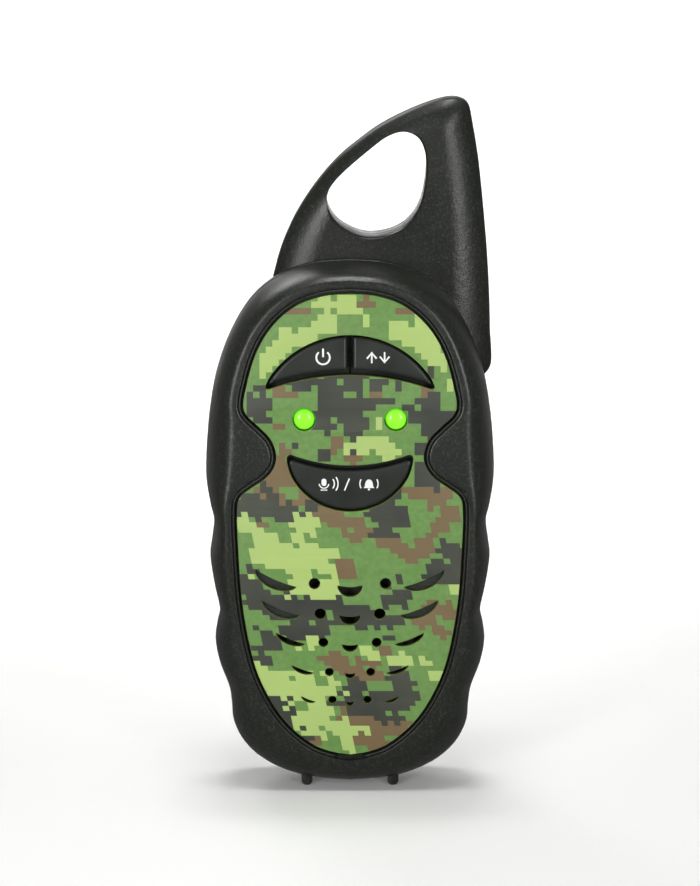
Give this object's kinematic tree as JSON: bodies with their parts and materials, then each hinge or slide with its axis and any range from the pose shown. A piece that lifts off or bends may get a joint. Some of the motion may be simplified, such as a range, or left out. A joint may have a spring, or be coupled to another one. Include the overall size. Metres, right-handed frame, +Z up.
{
  "type": "toy walkie talkie",
  "caption": "Toy walkie talkie: pebble-shaped body, camouflage face plate, press keys, speaker slots, antenna fin with carry loop, hinged battery cover, sprung belt clip, peg feet.",
  "frame": {"origin": "on the ground under the middle of the box around the whole unit as it stands on its peg feet", "axes": "+Z up along the body towards the antenna fin, +X to the right of someone facing the keys, +Y from the keys towards the back"},
  "size_m": [0.0706, 0.039, 0.1699],
  "materials": {
    "black_plastic": "moulded, fine grain",
    "camo_plastic": "moulded, satin, printed with a digital camouflage in greens, brown and dark grey",
    "key_plastic": "moulded, satin",
    "green_lens": "clear green epoxy, polished",
    "board_green": "glass fibre laminate under a green lacquer",
    "tin_steel": "tin-plated",
    "copper_wire": "enamelled copper wire",
    "silicone_rubber": "moulded silicone, matte",
    "paper_cone": "pressed paper, matte",
    "battery_can": "printed film wrap, semi-gloss",
    "chip_black": "epoxy, matte",
    "lead_black": "vinyl insulation",
    "lead_red": "vinyl insulation"
  },
  "bodies": {
    "unit": {"antenna_coil": "copper_wire", "antenna_lead": "copper_wire", "battery_bridge_lower": "tin_steel", "battery_bridge_upper": "tin_steel", "battery_cell_1": "battery_can", "battery_cell_2": "battery_can", "battery_cell_3": "battery_can", "battery_contact_negative": "tin_steel", "battery_contact_positive": "tin_steel", "battery_lead_black": "lead_black", "battery_lead_red": "lead_red", "battery_spring_1": "tin_steel", "battery_spring_2": "tin_steel", "battery_spring_3": "tin_steel", "channel_dome": "silicone_rubber", "clip_pin": "tin_steel", "clip_spring": "tin_steel", "controller_chip": "chip_black", "crystal_can": "tin_steel", "face_plate": "camo_plastic", "filter_capacitor": "chip_black", "fin_front": "black_plastic", "fin_rear": "black_plastic", "fin_screw_lower": "tin_steel", "fin_screw_upper": "tin_steel", "foot_front_left": "black_plastic", "foot_front_right": "black_plastic", "foot_rear_left": "black_plastic", "foot_rear_right": "black_plastic", "front_housing": "black_plastic", "housing_screw_lower_left": "tin_steel", "housing_screw_lower_right": "tin_steel", "housing_screw_upper_left": "tin_steel", "housing_screw_upper_right": "tin_steel", "led_left": "green_lens", "led_right": "green_lens", "main_board": "board_green", "microphone": "tin_steel", "power_dome": "silicone_rubber", "radio_shield": "tin_steel", "rear_housing": "black_plastic", "speaker_cone": "paper_cone", "speaker_frame": "tin_steel", "speaker_lead": "lead_black", "speaker_magnet": "tin_steel", "talk_dome": "silicone_rubber"},
    "power_key": {"power_key": "key_plastic"},
    "channel_key": {"channel_key": "key_plastic"},
    "talk_key": {"talk_key": "key_plastic"},
    "battery_cover": {"battery_cover": "black_plastic", "battery_cover_screw": "tin_steel"},
    "belt_clip": {"belt_clip": "black_plastic"}
  },
  "joints": [
    {"name": "power_key_press", "type": "slide", "parent": "unit", "child": "power_key", "axis": [0, 1, 0], "range_m": [0, 0.0009], "stiffness_N_per_m": 300, "deforming": ["power_dome"]},
    {"name": "channel_key_press", "type": "slide", "parent": "unit", "child": "channel_key", "axis": [0, 1, 0], "range_m": [0, 0.0009], "stiffness_N_per_m": 300, "deforming": ["channel_dome"]},
    {"name": "talk_key_press", "type": "slide", "parent": "unit", "child": "talk_key", "axis": [0, 1, 0], "range_m": [0, 0.0009], "stiffness_N_per_m": 300, "deforming": ["talk_dome"]},
    {"name": "battery_cover_swing", "type": "hinge", "parent": "unit", "child": "battery_cover", "pos_m": [0, 0.0121, 0.0122], "axis": [-1, 0, 0], "range_deg": [0, 65]},
    {"name": "belt_clip_turn", "type": "hinge", "parent": "unit", "child": "belt_clip", "pos_m": [0, 0.0154, 0.112], "axis": [1, 0, 0], "range_deg": [0, 18], "stiffness_Nm_per_rad": 0.3, "springref_deg": -8.59, "deforming": ["clip_spring"]}
  ]
}
